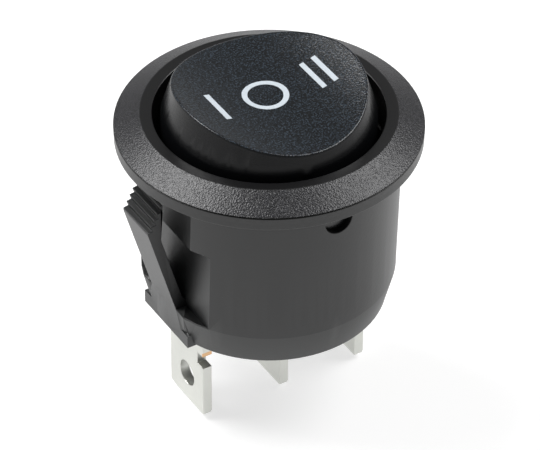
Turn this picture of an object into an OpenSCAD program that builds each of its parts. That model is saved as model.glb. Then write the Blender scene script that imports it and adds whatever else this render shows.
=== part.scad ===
// Round panel rocker switch, three positions, change-over with centre off.
// Millimetres. The origin is the centre of the flange's underside, where it seats on the panel.
// +Z points out of the panel. The rocker tips about Y, so its two ends lie along X.

/* [Bezel] */
// Diameter of the flange that covers the panel hole
flange_d = 23; // [22:0.5:26]
// Height of the flange's plain edge
rim_h = 1.1; // [0.9:0.1:1.6]
// Depth of the fine line cut round the top of the plain edge
rim_line = 0.12; // [0.05:0.01:0.25]
// Rise of the grained cone above the plain edge
bezel_rise = 1.05; // [0.6:0.05:1.4]
// Width of the smooth ring between the cone and the opening
ring_w = 0.9; // [0.4:0.1:1.2]

/* [Barrel] */
// Diameter of the barrel that goes through the panel
barrel_d = 19.7; // [19.2:0.1:20.4]
// Depth of the barrel below the panel seat
barrel_depth = 14.45; // [13.8:0.05:16]
// How much the barrel narrows on the radius down to the latch arms' roots
barrel_draft = 0.2; // [0:0.01:0.3]
// Thickness of the barrel's wall
wall_t = 1.25; // [1:0.05:1.4]
// Thickness of the floor that the terminals pass through
floor_t = 1.85; // [1.3:0.05:2.2]
// How far the barrel's foot tapers in on the radius below the latch arms' roots
foot_taper = 0.63; // [0.2:0.01:0.9]
// Radius of the foot's lower edge
foot_round = 0.2; // [0.05:0.05:0.4]
// Depth of the straight collar just below the flange
collar_h = 1.45; // [1.2:0.05:1.6]

/* [Latches] */
// Width of each latch arm
latch_w = 3.7; // [3:0.1:4.5]
// How far the widest tooth stands out from the barrel
latch_out = 1.53; // [1:0.01:1.6]
// Depth of the latch's tip below the panel seat
latch_top = 1.6; // [1.5:0.1:2.2]
// Number of teeth down the latch
tooth_n = 5; // [3:1:6]
// Height from one tooth to the next
tooth_pitch = 0.5; // [0.4:0.05:0.6]
// How far each tooth stands out from the one above it
tooth_step = 0.26; // [0.15:0.01:0.28]
// Depth of the groove above each tooth
tooth_cut = 0.14; // [0.05:0.01:0.2]
// Thickness of the latch arm
latch_t = 0.85; // [0.7:0.05:1]
// Depth of the flat behind the latch's teeth
upper_flat = 0.85; // [0.6:0.05:1]
// Depth of the flat behind the latch's arm
lower_flat = 1.65; // [1.5:0.05:1.75]
// Depth below the seat where the upper flat steps to the lower one
flat_step_z = 4.75; // [4.4:0.05:5.5]
// Height of the solid foot that the latch arms grow from
band_h = 2.75; // [2.5:0.05:3.2]
// Width of the outer face of the gusset at the root of each latch
gusset_w = 2.05; // [1.4:0.05:2.6]

/* [Rocker] */
// Gap between the rocker's skirt and the opening
rocker_gap = 0.6; // [0.5:0.05:0.8]
// Height of the middle of the rocker's dished top above the seat
rocker_h = 3.4; // [3.1:0.1:4]
// Radius of the dish in the rocker's top
dish_r = 17.5; // [16:0.5:24]
// Height above the seat where the rocker's side starts to lean in
lean_h = 2; // [1.6:0.1:2.2]
// How far the rocker's side leans in for each millimetre of height
rocker_lean = 0.32; // [0.26:0.01:0.4]
// Thickness of the rocker's top and skirt
rocker_t = 1.3; // [1:0.1:1.6]
// Tilt of the rocker from the middle to either side, in degrees
rocker_tilt = 9; // [7:0.5:9]
// Depth of the rocker's pivot below the panel seat
pivot_z = 1.45; // [1.3:0.05:1.7]
// Diameter of the rocker's pivot pins
pin_d = 2.2; // [1.8:0.1:2.4]
// Gap on the radius between each pin and its hole
pin_clear = 0.05; // [0.02:0.01:0.08]
// How far each pin stops short of the barrel's outer face
pin_short = 0.5; // [0.3:0.05:0.7]

/* [Plunger and spring] */
// Diameter of the plunger
plunger_d = 2.8; // [2.4:0.1:3]
// Gap on the radius between the plunger and its bore
plunger_clear = 0.05; // [0.02:0.01:0.08]
// Radius of the plunger's round nose
nose_r = 0.8; // [0.6:0.05:0.9]
// How far the plunger can be pushed back into the rocker
plunger_travel = 0.9; // [0.6:0.1:1.2]
// Length of the plunger's guided barrel
plunger_guide = 3.4; // [2.8:0.1:3.8]
// Wall of the hollow post that guides the plunger
post_wall = 0.95; // [0.7:0.05:1.1]
// Diameter of the spring's wire
wire_d = 0.35; // [0.25:0.05:0.4]
// Number of turns in the spring
spring_turns = 8; // [6:1:9]

/* [Moving contact] */
// Thickness of the strip that carries the moving contacts
strip_t = 0.6; // [0.5:0.05:0.8]
// Width of the strip
strip_w = 4.6; // [4.2:0.1:4.8]
// Depth of the dip in the strip that the plunger's nose rests in
strip_dip = 0.33; // [0.2:0.01:0.4]
// Distance from the middle to each moving contact
contact_x = 5.2; // [4.9:0.1:5.4]
// Length of strip beyond the middle of each moving contact
strip_end = 1.3; // [1.1:0.05:1.4]
// Diameter of the contact rivets' heads
rivet_d = 2.2; // [1.8:0.1:2.4]
// Height of the contact rivets' heads
rivet_h = 0.6; // [0.5:0.05:0.8]
// Diameter of the contact rivets' shanks
shank_d = 1.2; // [1:0.1:1.4]
// Degrees that the strip turns for each degree of the rocker
strip_ratio = 1; // [0.9:0.05:1]

/* [Terminals] */
// Width of the terminal blades
blade_w = 4.8; // [4.4:0.1:5]
// Thickness of the terminal blades
blade_t = 0.8; // [0.6:0.1:0.8]
// Distance between neighbouring terminals
terminal_pitch = 6.8; // [6.6:0.05:6.85]
// Length of blade below the barrel
blade_out = 8.6; // [7:0.1:11]
// Diameter of the hole in each blade
tab_hole_d = 2.1; // [1.4:0.1:2.4]
// Height of the hole above the blade's tip
tab_hole_up = 2.9; // [2.2:0.1:3.6]
// Size of the cut corners at the blade's tip
tip_cut = 0.45; // [0.2:0.05:0.8]
// Depth of the notch below the barrel
notch_down = 2.45; // [1.5:0.05:3]
// Depth of the notch in the blade's edge
notch_deep = 0.85; // [0.4:0.05:1]
// Height of the notch in the blade's edge
notch_h = 1.1; // [0.6:0.1:1.4]

/* [Hidden] */
$fn = 96;

// Mark I is on the -X end of the rocker, mark II on the +X end
I_SIDE = -1;
II_SIDE = 1;
SIDES = [I_SIDE, II_SIDE];

// Colours
black_nylon = "#2e2f31";
black_gloss = "#24272b";
white_acetal = "#e8e6de";
spring_steel = "#b9bdc2";
copper = "#c9824f";
silver = "#d5d7d9";
tinned_brass = "#cfd0cc";

// Gaps between pieces that seat on each other, and how far a cut runs past a face
seat_gap = 0.02;
slot_gap = 0.06;
shank_gap = 0.01;
closed_gap = 0.03;
over = 1;

// Bezel and barrel
flange_r = flange_d / 2;
rim_draft = 0.05;
rim_line_h = 0.1;
barrel_r = barrel_d / 2;
barrel_low_r = barrel_r - barrel_draft;
opening_r = barrel_r - wall_t;
bezel_top = rim_h + bezel_rise;
ring_r = opening_r + ring_w;
ring_drop = 0.08;
foot_r = barrel_low_r - foot_taper;
foot_steps = 4;

// Cavity, with a flat wall behind each latch
flat_wall = 0.95;
ledge_h = 0.35;
upper_flat_x = barrel_r - upper_flat;
lower_flat_x = barrel_r - lower_flat;
floor_top = floor_t - barrel_depth;
band_top = band_h - barrel_depth;

// Guide walls that stand on the floor beside the moving contact
guide_t = 0.95;
guide_in = strip_w / 2 + 0.9;
guide_h = 4.6;

// Pads under the floor round the terminals
pad_drop = 0.12;
pad_y = 3.2;
pad_in = 1.2;
pad_out = 8.95;
pad_h = 1.1;

// Latch arm: the front face slants from the widest tooth in to the foot
tooth_low_x = barrel_r + latch_out;
tooth_low_z = -latch_top - (tooth_n - 1) * tooth_pitch;
tooth_top_x = tooth_low_x - (tooth_n - 1) * tooth_step;
arm_foot_x = lower_flat_x + latch_t + 0.1;
arm_knee_z = tooth_low_z - 1;
arm_root_z = band_top + 1;
tip_t = 0.22;
tip_up = 0.15;
function arm_x(z) = arm_foot_x + (tooth_low_x - arm_foot_x) * (z - band_top) / (tooth_low_z - 0.2 - band_top);

// Gusset at the arm's foot: its outer face leans with the barrel's foot, its sides flare inwards
gusset_out = 0.4;
gusset_up = 1.1;
gusset_low = 0.4;
gusset_flare = 1.1;
gusset_cut = 0.05;
gusset_in_x = foot_r - 0.6;
gusset_top_x = barrel_low_r + gusset_out;
gusset_top_z = band_top + gusset_up;
gusset_low_x = foot_r + gusset_out;
gusset_low_z = gusset_low - barrel_depth;

// Contact rivets
rivet_r = rivet_d / 2;
rivet_edge = 0.15;
dome_r = 3;
peen_h = 0.2;
peen_r = shank_d / 2 + 0.25;

// Moving contact, with its levels measured from the knife edge that it rocks on
strip_tilt = rocker_tilt * strip_ratio;
strip_mid_top = seat_gap + strip_t;
wing_top = strip_mid_top + strip_dip;
wing_low = wing_top - strip_t;
dome_centre = wing_low - rivet_h + dome_r;
ear_w = 0.65;
ear_up = 1;
neck_half = blade_w / 2 - ear_w - 0.15;
neck_x = blade_t / 2 + 0.3;

// Level of the fixed contacts, and of the knife edge that lets the moving ones just reach them
shelf_top = floor_top + blade_t;
fixed_top = shelf_top + rivet_h;
fixed_x = contact_x * cos(strip_tilt) + dome_centre * sin(strip_tilt);
knife_z = fixed_top + closed_gap + dome_r + contact_x * sin(strip_tilt) - dome_centre * cos(strip_tilt);

// Plunger: its nose stands in the strip's dip
nose_z = knife_z + strip_mid_top + seat_gap;
nose_h = 1;
spigot_r = 0.7;
spigot_h = 1.2;
plunger_r = plunger_d / 2;
bore_r = plunger_r + plunger_clear;
post_r = bore_r + post_wall;
post_low = nose_z + nose_r + nose_h + plunger_travel + 0.2;
plunger_top = post_low + plunger_guide;

// The dip is a little wider than the path of the nose across the tilting strip
nose_arm = -pivot_z - nose_z - nose_r;
nose_up = strip_mid_top + seat_gap + nose_r;
path_r = pow(nose_arm - strip_ratio * nose_up, 2)
    / (nose_arm * (1 + 2 * strip_ratio) - strip_ratio * strip_ratio * nose_up);
dip_r = path_r + nose_r + 0.15;
dip_steps = 12;

// Rocker
skirt_r = opening_r - rocker_gap;
skirt_low = 0.3;
dish_z = rocker_h + dish_r;
side_top = rocker_h + dish_r - sqrt(dish_r * dish_r - skirt_r * skirt_r);
ceiling = rocker_h - rocker_t;
bore_top = ceiling - 0.2;
pin_r = pin_d / 2;
pivot_hole_r = pin_r + pin_clear;
ear_x = 2;
ear_drop = 2;
rib_t = 1.2;
rib_low = -pivot_z - pin_r;
function side_r(z) = skirt_r - rocker_lean * (z - lean_h);

// Spring
coil_r = bore_r - 0.15 - wire_d / 2;
spring_low = plunger_top + seat_gap;
spring_len = bore_top - spring_low - seat_gap;
end_turns = 1;
end_pitch = wire_d * 1.15;
mid_pitch = (spring_len - wire_d - 2 * end_turns * end_pitch) / (spring_turns - 2 * end_turns);
coil_steps = 16;
wire_sides = 8;
function coil_z(turn) = min(turn, end_turns) * end_pitch
    + max(0, min(turn, spring_turns - end_turns) - end_turns) * mid_pitch
    + max(0, turn - spring_turns + end_turns) * end_pitch;

// Terminals
tip_z = -barrel_depth - blade_out;
tip_bevel = 0.25;
tip_bevel_h = 0.6;
shoulder = 0.4;
shoulder_h = 1.2;
bend_r = 0.7;
shelf_in = fixed_x - rivet_r - 0.3;
blade_out_x = terminal_pitch + blade_t / 2;
blade_in_x = terminal_pitch - blade_t / 2;

// Points of an arc about a centre, from one angle to another
function arc(cx, cy, r, from, to, steps) = [
    for (i = [0:steps])
        let (a = from + (to - from) * i / steps)
            [cx + r * cos(a), cy + r * sin(a)]
];

// Extrudes an outline drawn in X and Z, centred across Y
module across_y(width) {
    rotate([90, 0, 0])
        linear_extrude(width, center = true)
            children();
}

// Extrudes an outline drawn in Y and Z along X, centred
module along_x(length) {
    rotate([90, 0, 90])
        linear_extrude(length, center = true)
            children();
}

// A round bar along Y, centred
module bar_y(r, length) {
    rotate([90, 0, 0])
        cylinder(r = r, h = length, center = true);
}

// Keeps or flips a shape drawn on the +X side
module on_side(side) {
    if (side < 0)
        mirror([1, 0, 0])
            children();
    else
        children();
}

// ---- Housing ----

// Turned outline of the flange, bezel and barrel
module housing_solid() {
    rotate_extrude()
        polygon(concat(
            [[0, -barrel_depth]],
            arc(foot_r - foot_round, foot_round - barrel_depth, foot_round, -90, 0, foot_steps),
            [
                [barrel_low_r, band_top],
                [barrel_r, -collar_h],
                [barrel_r, 0],
                [flange_r - rim_draft, 0],
                [flange_r - rim_draft / 2, rim_h - rim_line_h],
                [flange_r - rim_line, rim_h - rim_line_h * 0.8],
                [flange_r - rim_line, rim_h - rim_line_h * 0.2],
                [flange_r, rim_h],
                [ring_r, bezel_top],
                [opening_r, bezel_top - ring_drop],
                [0, bezel_top - ring_drop]
            ]
        ));
}

// Round well for the rocker, narrowed by flat walls lower down
module cavity() {
    translate([0, 0, ledge_h - collar_h])
        cylinder(r = opening_r, h = collar_h + bezel_top + over);
    intersection() {
        translate([0, 0, floor_top])
            cylinder(r = opening_r, h = -floor_top);
        union() {
            step_z = flat_wall - flat_step_z;
            wide_x = upper_flat_x - flat_wall;
            narrow_x = lower_flat_x - flat_wall;
            translate([-wide_x, -barrel_r, step_z])
                cube([2 * wide_x, 2 * barrel_r, -step_z]);
            translate([-narrow_x, -barrel_r, floor_top])
                cube([2 * narrow_x, 2 * barrel_r, -floor_top]);
        }
    }
}

// Flats cut in the barrel behind one latch
module latch_flats() {
    translate([upper_flat_x, -barrel_r, -flat_step_z - over])
        cube([barrel_r, 2 * barrel_r, flat_step_z + over - collar_h]);
    translate([lower_flat_x, -barrel_r, band_top])
        cube([barrel_r, 2 * barrel_r, -flat_step_z - band_top]);
}

// Sprung arm with a toothed head, rooted in the barrel's foot
module latch_arm() {
    teeth = [
        for (i = [0:tooth_n - 1])
            let (x = tooth_low_x - i * tooth_step, z = tooth_low_z + i * tooth_pitch)
                each [[x, z], [x - tooth_step - tooth_cut, z + tooth_cut / 2]]
    ];
    across_y(latch_w)
        polygon(concat(
            [
                [lower_flat_x - 0.1, band_top - 0.5],
                [arm_foot_x, band_top - 0.5],
                [arm_foot_x, band_top],
                [tooth_low_x, tooth_low_z - 0.2]
            ],
            [for (i = [0:2 * tooth_n - 2]) teeth[i]],
            [
                [tooth_top_x - tip_t, -latch_top + tip_up],
                [arm_x(arm_knee_z) - latch_t, arm_knee_z],
                [arm_x(arm_root_z) - latch_t, arm_root_z],
                [lower_flat_x - 0.1, band_top + 0.4]
            ]
        ));
}

// Gusset that backs the arm's foot, cut away above so that the arm can flex
module latch_gusset() {
    half = gusset_w / 2;
    wide = half + gusset_flare * (gusset_top_x - gusset_in_x);
    lean = atan((gusset_top_x - gusset_low_x) / (gusset_top_z - gusset_low_z));
    run = gusset_top_z - gusset_low_z + over;
    intersection() {
        across_y(2 * wide)
            polygon([
                [gusset_in_x, gusset_low_z],
                [gusset_in_x, band_top - 4 * gusset_cut],
                [arm_foot_x - gusset_cut, band_top - 4 * gusset_cut],
                [arm_foot_x, band_top + gusset_cut],
                [gusset_top_x, gusset_top_z],
                [gusset_low_x, gusset_low_z]
            ]);
        translate([gusset_top_x, 0, gusset_top_z])
            rotate([0, lean, 0])
                translate([0, 0, -run])
                    linear_extrude(run + over)
                        polygon([
                            [0, -half],
                            [0, half],
                            [gusset_in_x - gusset_top_x, wide],
                            [gusset_in_x - gusset_top_x, -wide]
                        ]);
    }
}

// Pads that frame the terminal slots on the underside
module floor_pads() {
    translate([-pad_in, -pad_y, -barrel_depth - pad_drop])
        cube([2 * pad_in, 2 * pad_y, pad_h]);
    for (side = SIDES)
        on_side(side)
            translate([blade_in_x - 0.8, -pad_y, -barrel_depth - pad_drop])
                cube([pad_out - blade_in_x + 0.8, 2 * pad_y, pad_h]);
}

// Walls that keep the moving contact in line
module guide_walls() {
    reach = lower_flat_x - flat_wall + 0.15;
    for (side = [-1, 1])
        translate([-reach, side > 0 ? guide_in : -guide_in - guide_t, floor_top - 0.2])
            cube([2 * reach, guide_t, guide_h + 0.2]);
}

module terminal_slots() {
    slot = [blade_t + 2 * slot_gap, blade_w + 2 * slot_gap, floor_t + pad_drop + 2 * over];
    for (x = [-terminal_pitch, 0, terminal_pitch])
        translate([x, 0, -barrel_depth + floor_t / 2])
            cube(slot, center = true);
}

module housing() {
    color(black_nylon)
        difference() {
            union() {
                difference() {
                    union() {
                        difference() {
                            housing_solid();
                            for (side = SIDES)
                                on_side(side)
                                    latch_flats();
                        }
                        floor_pads();
                    }
                    cavity();
                    translate([0, 0, -pivot_z])
                        bar_y(pivot_hole_r, 2 * barrel_r + 2 * over);
                }
                guide_walls();
                for (side = SIDES)
                    on_side(side) {
                        latch_arm();
                        latch_gusset();
                    }
            }
            terminal_slots();
        }
}

// ---- Rocker ----

// Turned outline of the rocker, before its top is dished
module rocker_solid(inset, low) {
    rotate_extrude()
        polygon([
            [0, low],
            [skirt_r - inset, low],
            [skirt_r - inset, lean_h],
            [side_r(side_top) - inset, side_top],
            [0, side_top]
        ]);
}

module dish(r) {
    translate([0, 0, dish_z])
        bar_y(r, 2 * skirt_r + 2 * over);
}

// Thin shell with the dish's curve carried through to its underside
module rocker_shell() {
    difference() {
        rocker_solid(0, skirt_low);
        difference() {
            rocker_solid(rocker_t, skirt_low - over);
            dish(dish_r + rocker_t);
        }
    }
}

// Ears below the skirt, ribs, and the pins that turn in the housing's walls
module rocker_pivot() {
    intersection() {
        translate([0, 0, -pivot_z - ear_drop])
            difference() {
                cylinder(r = skirt_r, h = pivot_z + ear_drop + skirt_low + 0.5);
                translate([0, 0, -over])
                    cylinder(r = skirt_r - rocker_t, h = pivot_z + ear_drop + skirt_low + 0.5 + 2 * over);
            }
        cube([2 * ear_x, 4 * skirt_r, 8 * ear_drop], center = true);
    }
    rib_x = skirt_r - rocker_t / 2;
    translate([-rib_t / 2, -rib_x, rib_low])
        cube([rib_t, 2 * rib_x, ceiling + rocker_t / 2 - rib_low]);
    translate([-rib_x, -rib_t / 2, skirt_low])
        cube([2 * rib_x, rib_t, ceiling + rocker_t / 2 - skirt_low]);
    pin_len = barrel_r - pin_short - skirt_r + rocker_t / 2;
    for (side = [-1, 1])
        translate([0, side * (skirt_r - rocker_t / 2 + pin_len / 2), -pivot_z])
            bar_y(pin_r, pin_len);
}

module rocker() {
    color(black_gloss)
        difference() {
            union() {
                rocker_shell();
                rocker_pivot();
                translate([0, 0, post_low])
                    cylinder(r = post_r, h = ceiling + rocker_t / 2 - post_low);
            }
            dish(dish_r);
            translate([0, 0, post_low - over])
                cylinder(r = bore_r, h = bore_top - post_low + over);
        }
}

// ---- Plunger and spring ----

module plunger() {
    shoulder_z = nose_z + nose_r + nose_h;
    color(white_acetal)
        union() {
            translate([0, 0, nose_z + nose_r])
                sphere(r = nose_r);
            translate([0, 0, nose_z + nose_r])
                cylinder(r1 = nose_r, r2 = plunger_r, h = nose_h);
            translate([0, 0, shoulder_z])
                cylinder(r = plunger_r, h = plunger_top - shoulder_z);
            translate([0, 0, plunger_top])
                cylinder(r = spigot_r, h = spigot_h);
        }
}

// Round wire wound by a formula, with close turns at both ends
module plunger_spring() {
    rings = spring_turns * coil_steps;
    points = [
        for (i = [0:rings])
            for (j = [0:wire_sides - 1])
                let (
                    turn = i / coil_steps,
                    a = 360 * turn,
                    b = 360 * j / wire_sides,
                    r = coil_r + wire_d / 2 * cos(b)
                )
                    [r * cos(a), r * sin(a), spring_low + wire_d / 2 + coil_z(turn) + wire_d / 2 * sin(b)]
    ];
    skin = [
        for (i = [0:rings - 1])
            for (j = [0:wire_sides - 1])
                let (k = (j + 1) % wire_sides)
                    each [
                        [i * wire_sides + j, (i + 1) * wire_sides + j, (i + 1) * wire_sides + k],
                        [i * wire_sides + j, (i + 1) * wire_sides + k, i * wire_sides + k]
                    ]
    ];
    first_cap = [for (j = [0:wire_sides - 1]) j];
    last_cap = [for (j = [wire_sides - 1:-1:0]) rings * wire_sides + j];
    color(spring_steel)
        polyhedron(points = points, faces = concat(skin, [first_cap, last_cap]), convexity = 8);
}

// ---- Contacts ----

// Strip with a dip in the middle, and a notch in each edge for the common terminal's ears
module moving_contact() {
    half = contact_x + strip_end;
    centre = strip_mid_top + dip_r;
    top_a = acos((centre - wing_top) / dip_r);
    low_a = acos((centre - wing_low) / (dip_r + strip_t));
    color(copper)
        translate([0, 0, knife_z])
            difference() {
                across_y(strip_w)
                    polygon(concat(
                        [[half, wing_low], [half, wing_top]],
                        arc(0, centre, dip_r, -90 + top_a, -90 - top_a, dip_steps),
                        [[-half, wing_top], [-half, wing_low]],
                        arc(0, centre, dip_r + strip_t, -90 - low_a, -90 + low_a, dip_steps)
                    ));
                for (side = [-1, 1])
                    translate([-neck_x, side > 0 ? neck_half : -neck_half - strip_w, -over])
                        cube([2 * neck_x, strip_w, wing_top + 2 * over]);
                for (side = SIDES)
                    translate([side * contact_x, 0, -over])
                        cylinder(d = shank_d + 2 * shank_gap, h = wing_top + 2 * over);
            }
}

// Domed head under the strip, shank through it and a flat peened end on top
module moving_rivet(side) {
    color(silver)
        translate([side * contact_x, 0, knife_z]) {
            intersection() {
                translate([0, 0, wing_low - rivet_h])
                    cylinder(r = rivet_r, h = rivet_h);
                translate([0, 0, dome_centre])
                    sphere(r = dome_r);
            }
            translate([0, 0, wing_low - rivet_h / 2])
                cylinder(d = shank_d, h = strip_t + rivet_h / 2);
            translate([0, 0, wing_top])
                cylinder(r = peen_r, h = peen_h);
        }
}

module i_side_moving_rivet() {
    moving_rivet(I_SIDE);
}

module ii_side_moving_rivet() {
    moving_rivet(II_SIDE);
}

// Flat head on the terminal's shelf, with a shank that ends flush under it
module fixed_rivet(side) {
    color(silver)
        translate([side * fixed_x, 0, shelf_top])
            rotate_extrude()
                polygon([
                    [0, -blade_t],
                    [shank_d / 2, -blade_t],
                    [shank_d / 2, 0],
                    [rivet_r, 0],
                    [rivet_r, rivet_h - rivet_edge],
                    [rivet_r - rivet_edge, rivet_h],
                    [0, rivet_h]
                ]);
}

module i_side_fixed_rivet() {
    fixed_rivet(I_SIDE);
}

module ii_side_fixed_rivet() {
    fixed_rivet(II_SIDE);
}

// ---- Terminals ----

// Outline of a blade seen face on, from its tip up to a given height, with its edge notch
module blade_face(top) {
    half = blade_w / 2;
    notch_top = -barrel_depth - notch_down;
    polygon([
        [-half, top],
        [-half, notch_top],
        [-half + notch_deep, notch_top],
        [-half + notch_deep, notch_top - notch_h],
        [-half, notch_top - notch_h],
        [-half, tip_z + tip_cut],
        [-half + tip_cut, tip_z],
        [half - tip_cut, tip_z],
        [half, tip_z + tip_cut],
        [half, top]
    ]);
}

// Hole for the wire, and the bevels that thin the tip
module blade_cuts() {
    translate([0, 0, tip_z + tab_hole_up])
        rotate([0, 90, 0])
            cylinder(d = tab_hole_d, h = blade_t + 2 * over, center = true);
    for (side = [-1, 1])
        on_side(side)
            across_y(blade_w + 2 * over)
                polygon([
                    [blade_t / 2 - tip_bevel, tip_z],
                    [blade_t / 2, tip_z + tip_bevel_h],
                    [blade_t / 2 + over, tip_z + tip_bevel_h],
                    [blade_t / 2 + over, tip_z - over],
                    [blade_t / 2 - tip_bevel, tip_z - over]
                ]);
}

// Blade with shoulders on the floor and a rounded knife edge between two ears
module common_terminal() {
    color(tinned_brass)
        difference() {
            union() {
                along_x(blade_t)
                    blade_face(knife_z - blade_t / 2);
                translate([-blade_t / 2, -blade_w / 2 - shoulder, floor_top])
                    cube([blade_t, blade_w + 2 * shoulder, shoulder_h]);
                translate([0, 0, knife_z - blade_t / 2])
                    bar_y(blade_t / 2, blade_w);
                for (side = [-1, 1])
                    translate([0, side * (blade_w - ear_w) / 2, knife_z + ear_up / 2 - blade_t / 4])
                        cube([blade_t, ear_w, ear_up + blade_t / 2], center = true);
            }
            blade_cuts();
        }
}

// Blade bent inwards above the floor into a shelf for the fixed contact
module side_terminal(side) {
    color(tinned_brass)
        on_side(side)
            difference() {
                intersection() {
                    across_y(blade_w + 2 * over)
                        polygon(concat(
                            [
                                [blade_in_x, tip_z],
                                [blade_in_x, floor_top],
                                [shelf_in, floor_top],
                                [shelf_in, shelf_top]
                            ],
                            arc(blade_out_x - bend_r, shelf_top - bend_r, bend_r, 90, 0, 8),
                            [[blade_out_x, tip_z]]
                        ));
                    translate([blade_out_x / 2, 0, 0])
                        along_x(blade_out_x + over)
                            blade_face(shelf_top + over);
                }
                translate([terminal_pitch, 0, 0])
                    blade_cuts();
                translate([fixed_x, 0, floor_top - over])
                    cylinder(d = shank_d + 2 * shank_gap, h = blade_t + 2 * over);
            }
}

module i_side_terminal() {
    side_terminal(I_SIDE);
}

module ii_side_terminal() {
    side_terminal(II_SIDE);
}

housing();
rocker();
plunger();
plunger_spring();
moving_contact();
i_side_moving_rivet();
ii_side_moving_rivet();
i_side_fixed_rivet();
ii_side_fixed_rivet();
common_terminal();
i_side_terminal();
ii_side_terminal();
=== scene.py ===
"""Looks of a round panel rocker switch: moulded plastics, printed marks, plated blades and a small studio."""

import logging
import math
from collections.abc import Iterable
from dataclasses import dataclass, field
from enum import Enum

import bmesh
import bpy
from mathutils import Matrix, Vector


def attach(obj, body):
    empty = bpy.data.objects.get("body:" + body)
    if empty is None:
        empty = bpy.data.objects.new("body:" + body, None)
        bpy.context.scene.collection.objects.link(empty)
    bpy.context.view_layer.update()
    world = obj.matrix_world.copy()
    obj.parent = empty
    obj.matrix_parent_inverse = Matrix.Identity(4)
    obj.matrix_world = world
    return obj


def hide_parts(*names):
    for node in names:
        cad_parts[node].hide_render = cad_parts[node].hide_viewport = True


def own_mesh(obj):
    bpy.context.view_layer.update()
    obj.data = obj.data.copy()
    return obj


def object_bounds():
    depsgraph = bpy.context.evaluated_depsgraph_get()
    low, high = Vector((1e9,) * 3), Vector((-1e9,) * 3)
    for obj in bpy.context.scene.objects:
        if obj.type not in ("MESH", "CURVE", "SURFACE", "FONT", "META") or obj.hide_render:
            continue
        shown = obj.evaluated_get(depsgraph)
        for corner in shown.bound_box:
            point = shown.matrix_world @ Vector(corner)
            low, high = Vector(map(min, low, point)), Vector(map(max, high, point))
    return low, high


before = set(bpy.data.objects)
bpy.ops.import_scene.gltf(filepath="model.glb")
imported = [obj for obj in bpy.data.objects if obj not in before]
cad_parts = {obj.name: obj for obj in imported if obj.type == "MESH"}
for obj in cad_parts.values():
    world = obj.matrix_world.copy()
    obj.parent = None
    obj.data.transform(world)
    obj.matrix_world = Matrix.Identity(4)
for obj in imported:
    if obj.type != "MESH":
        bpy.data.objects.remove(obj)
cad_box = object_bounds()

MM = 0.001
MERGE_MM = 0.0005
log = logging.getLogger("rocker_switch")

# The rocker's touch face: height of its lowest line, and the radius that it is dished to
DISH_LOW_MM = 3.4
DISH_RADIUS_MM = 17.5


# ---- Small helpers -------------------------------------------------------------------------


def linear(hex_colour: str) -> tuple[float, float, float, float]:
    """Turns an sRGB hex colour into linear RGBA.

    Args:
        hex_colour: colour such as "#2a2b2d".

    Returns:
        Red, green, blue and alpha, linear.
    """
    channels = [int(hex_colour[i:i + 2], 16) / 255 for i in (1, 3, 5)]
    return tuple(c / 12.92 if c <= 0.04045 else ((c + 0.055) / 1.055) ** 2.4 for c in channels) + (1.0,)


def add_node(
    tree: bpy.types.NodeTree,
    kind: str,
    inputs: dict[str | int, object] | None = None,
    **settings: object,
) -> bpy.types.Node:
    """Adds one node with its settings, and sets or links its inputs.

    Args:
        tree: the node tree.
        kind: the node's type name.
        inputs: for each input, by name or number: a value, a socket, or a node whose first output it takes.
        settings: properties of the node, set before its inputs.

    Returns:
        The new node.
    """
    node = tree.nodes.new(kind)
    for name, value in settings.items():
        setattr(node, name, value)
    for key, value in (inputs or {}).items():
        if isinstance(value, bpy.types.Node):
            value = next(socket for socket in value.outputs if socket.enabled)
        if isinstance(value, bpy.types.NodeSocket):
            tree.links.new(value, node.inputs[key])
        else:
            node.inputs[key].default_value = value
    return node


def show(piece: bpy.types.Object) -> bpy.types.Object:
    """Links a new object to the scene and returns it."""
    bpy.context.scene.collection.objects.link(piece)
    return piece


def bake_modifiers(piece: bpy.types.Object) -> bpy.types.Mesh:
    """Gives a piece the mesh that its modifiers make, and removes them.

    Args:
        piece: the piece.

    Returns:
        Its new mesh.
    """
    evaluated = piece.evaluated_get(bpy.context.evaluated_depsgraph_get())
    finished = bpy.data.meshes.new_from_object(evaluated)
    piece.modifiers.clear()
    piece.data = finished
    return finished


# ---- Finishes ------------------------------------------------------------------------------


@dataclass(frozen=True)
class Finish:
    """A material's common values; each subclass adds its own pattern."""

    name: str
    colour: str
    roughness: float
    metallic: float = 0.0
    ior: float = 1.5

    def build(self) -> bpy.types.Material:
        """Makes the material.

        Returns:
            The finished material.
        """
        material = bpy.data.materials.new(self.name)
        material.use_nodes = True
        tree = material.node_tree
        tree.nodes.clear()
        shader = add_node(tree, "ShaderNodeBsdfPrincipled", {
            "Base Color": linear(self.colour),
            "Roughness": self.roughness,
            "Metallic": self.metallic,
            "IOR": self.ior,
        })
        add_node(tree, "ShaderNodeOutputMaterial", {"Surface": shader})
        position = add_node(tree, "ShaderNodeTexCoord").outputs["Object"]
        self.dress(tree, shader, position)
        return material

    def dress(self, tree: bpy.types.NodeTree, shader: bpy.types.Node, position: bpy.types.NodeSocket) -> None:
        """Adds the pattern of this finish.

        Args:
            tree: the material's node tree.
            shader: its Principled shader.
            position: the object coordinates, in metres.
        """


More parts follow.
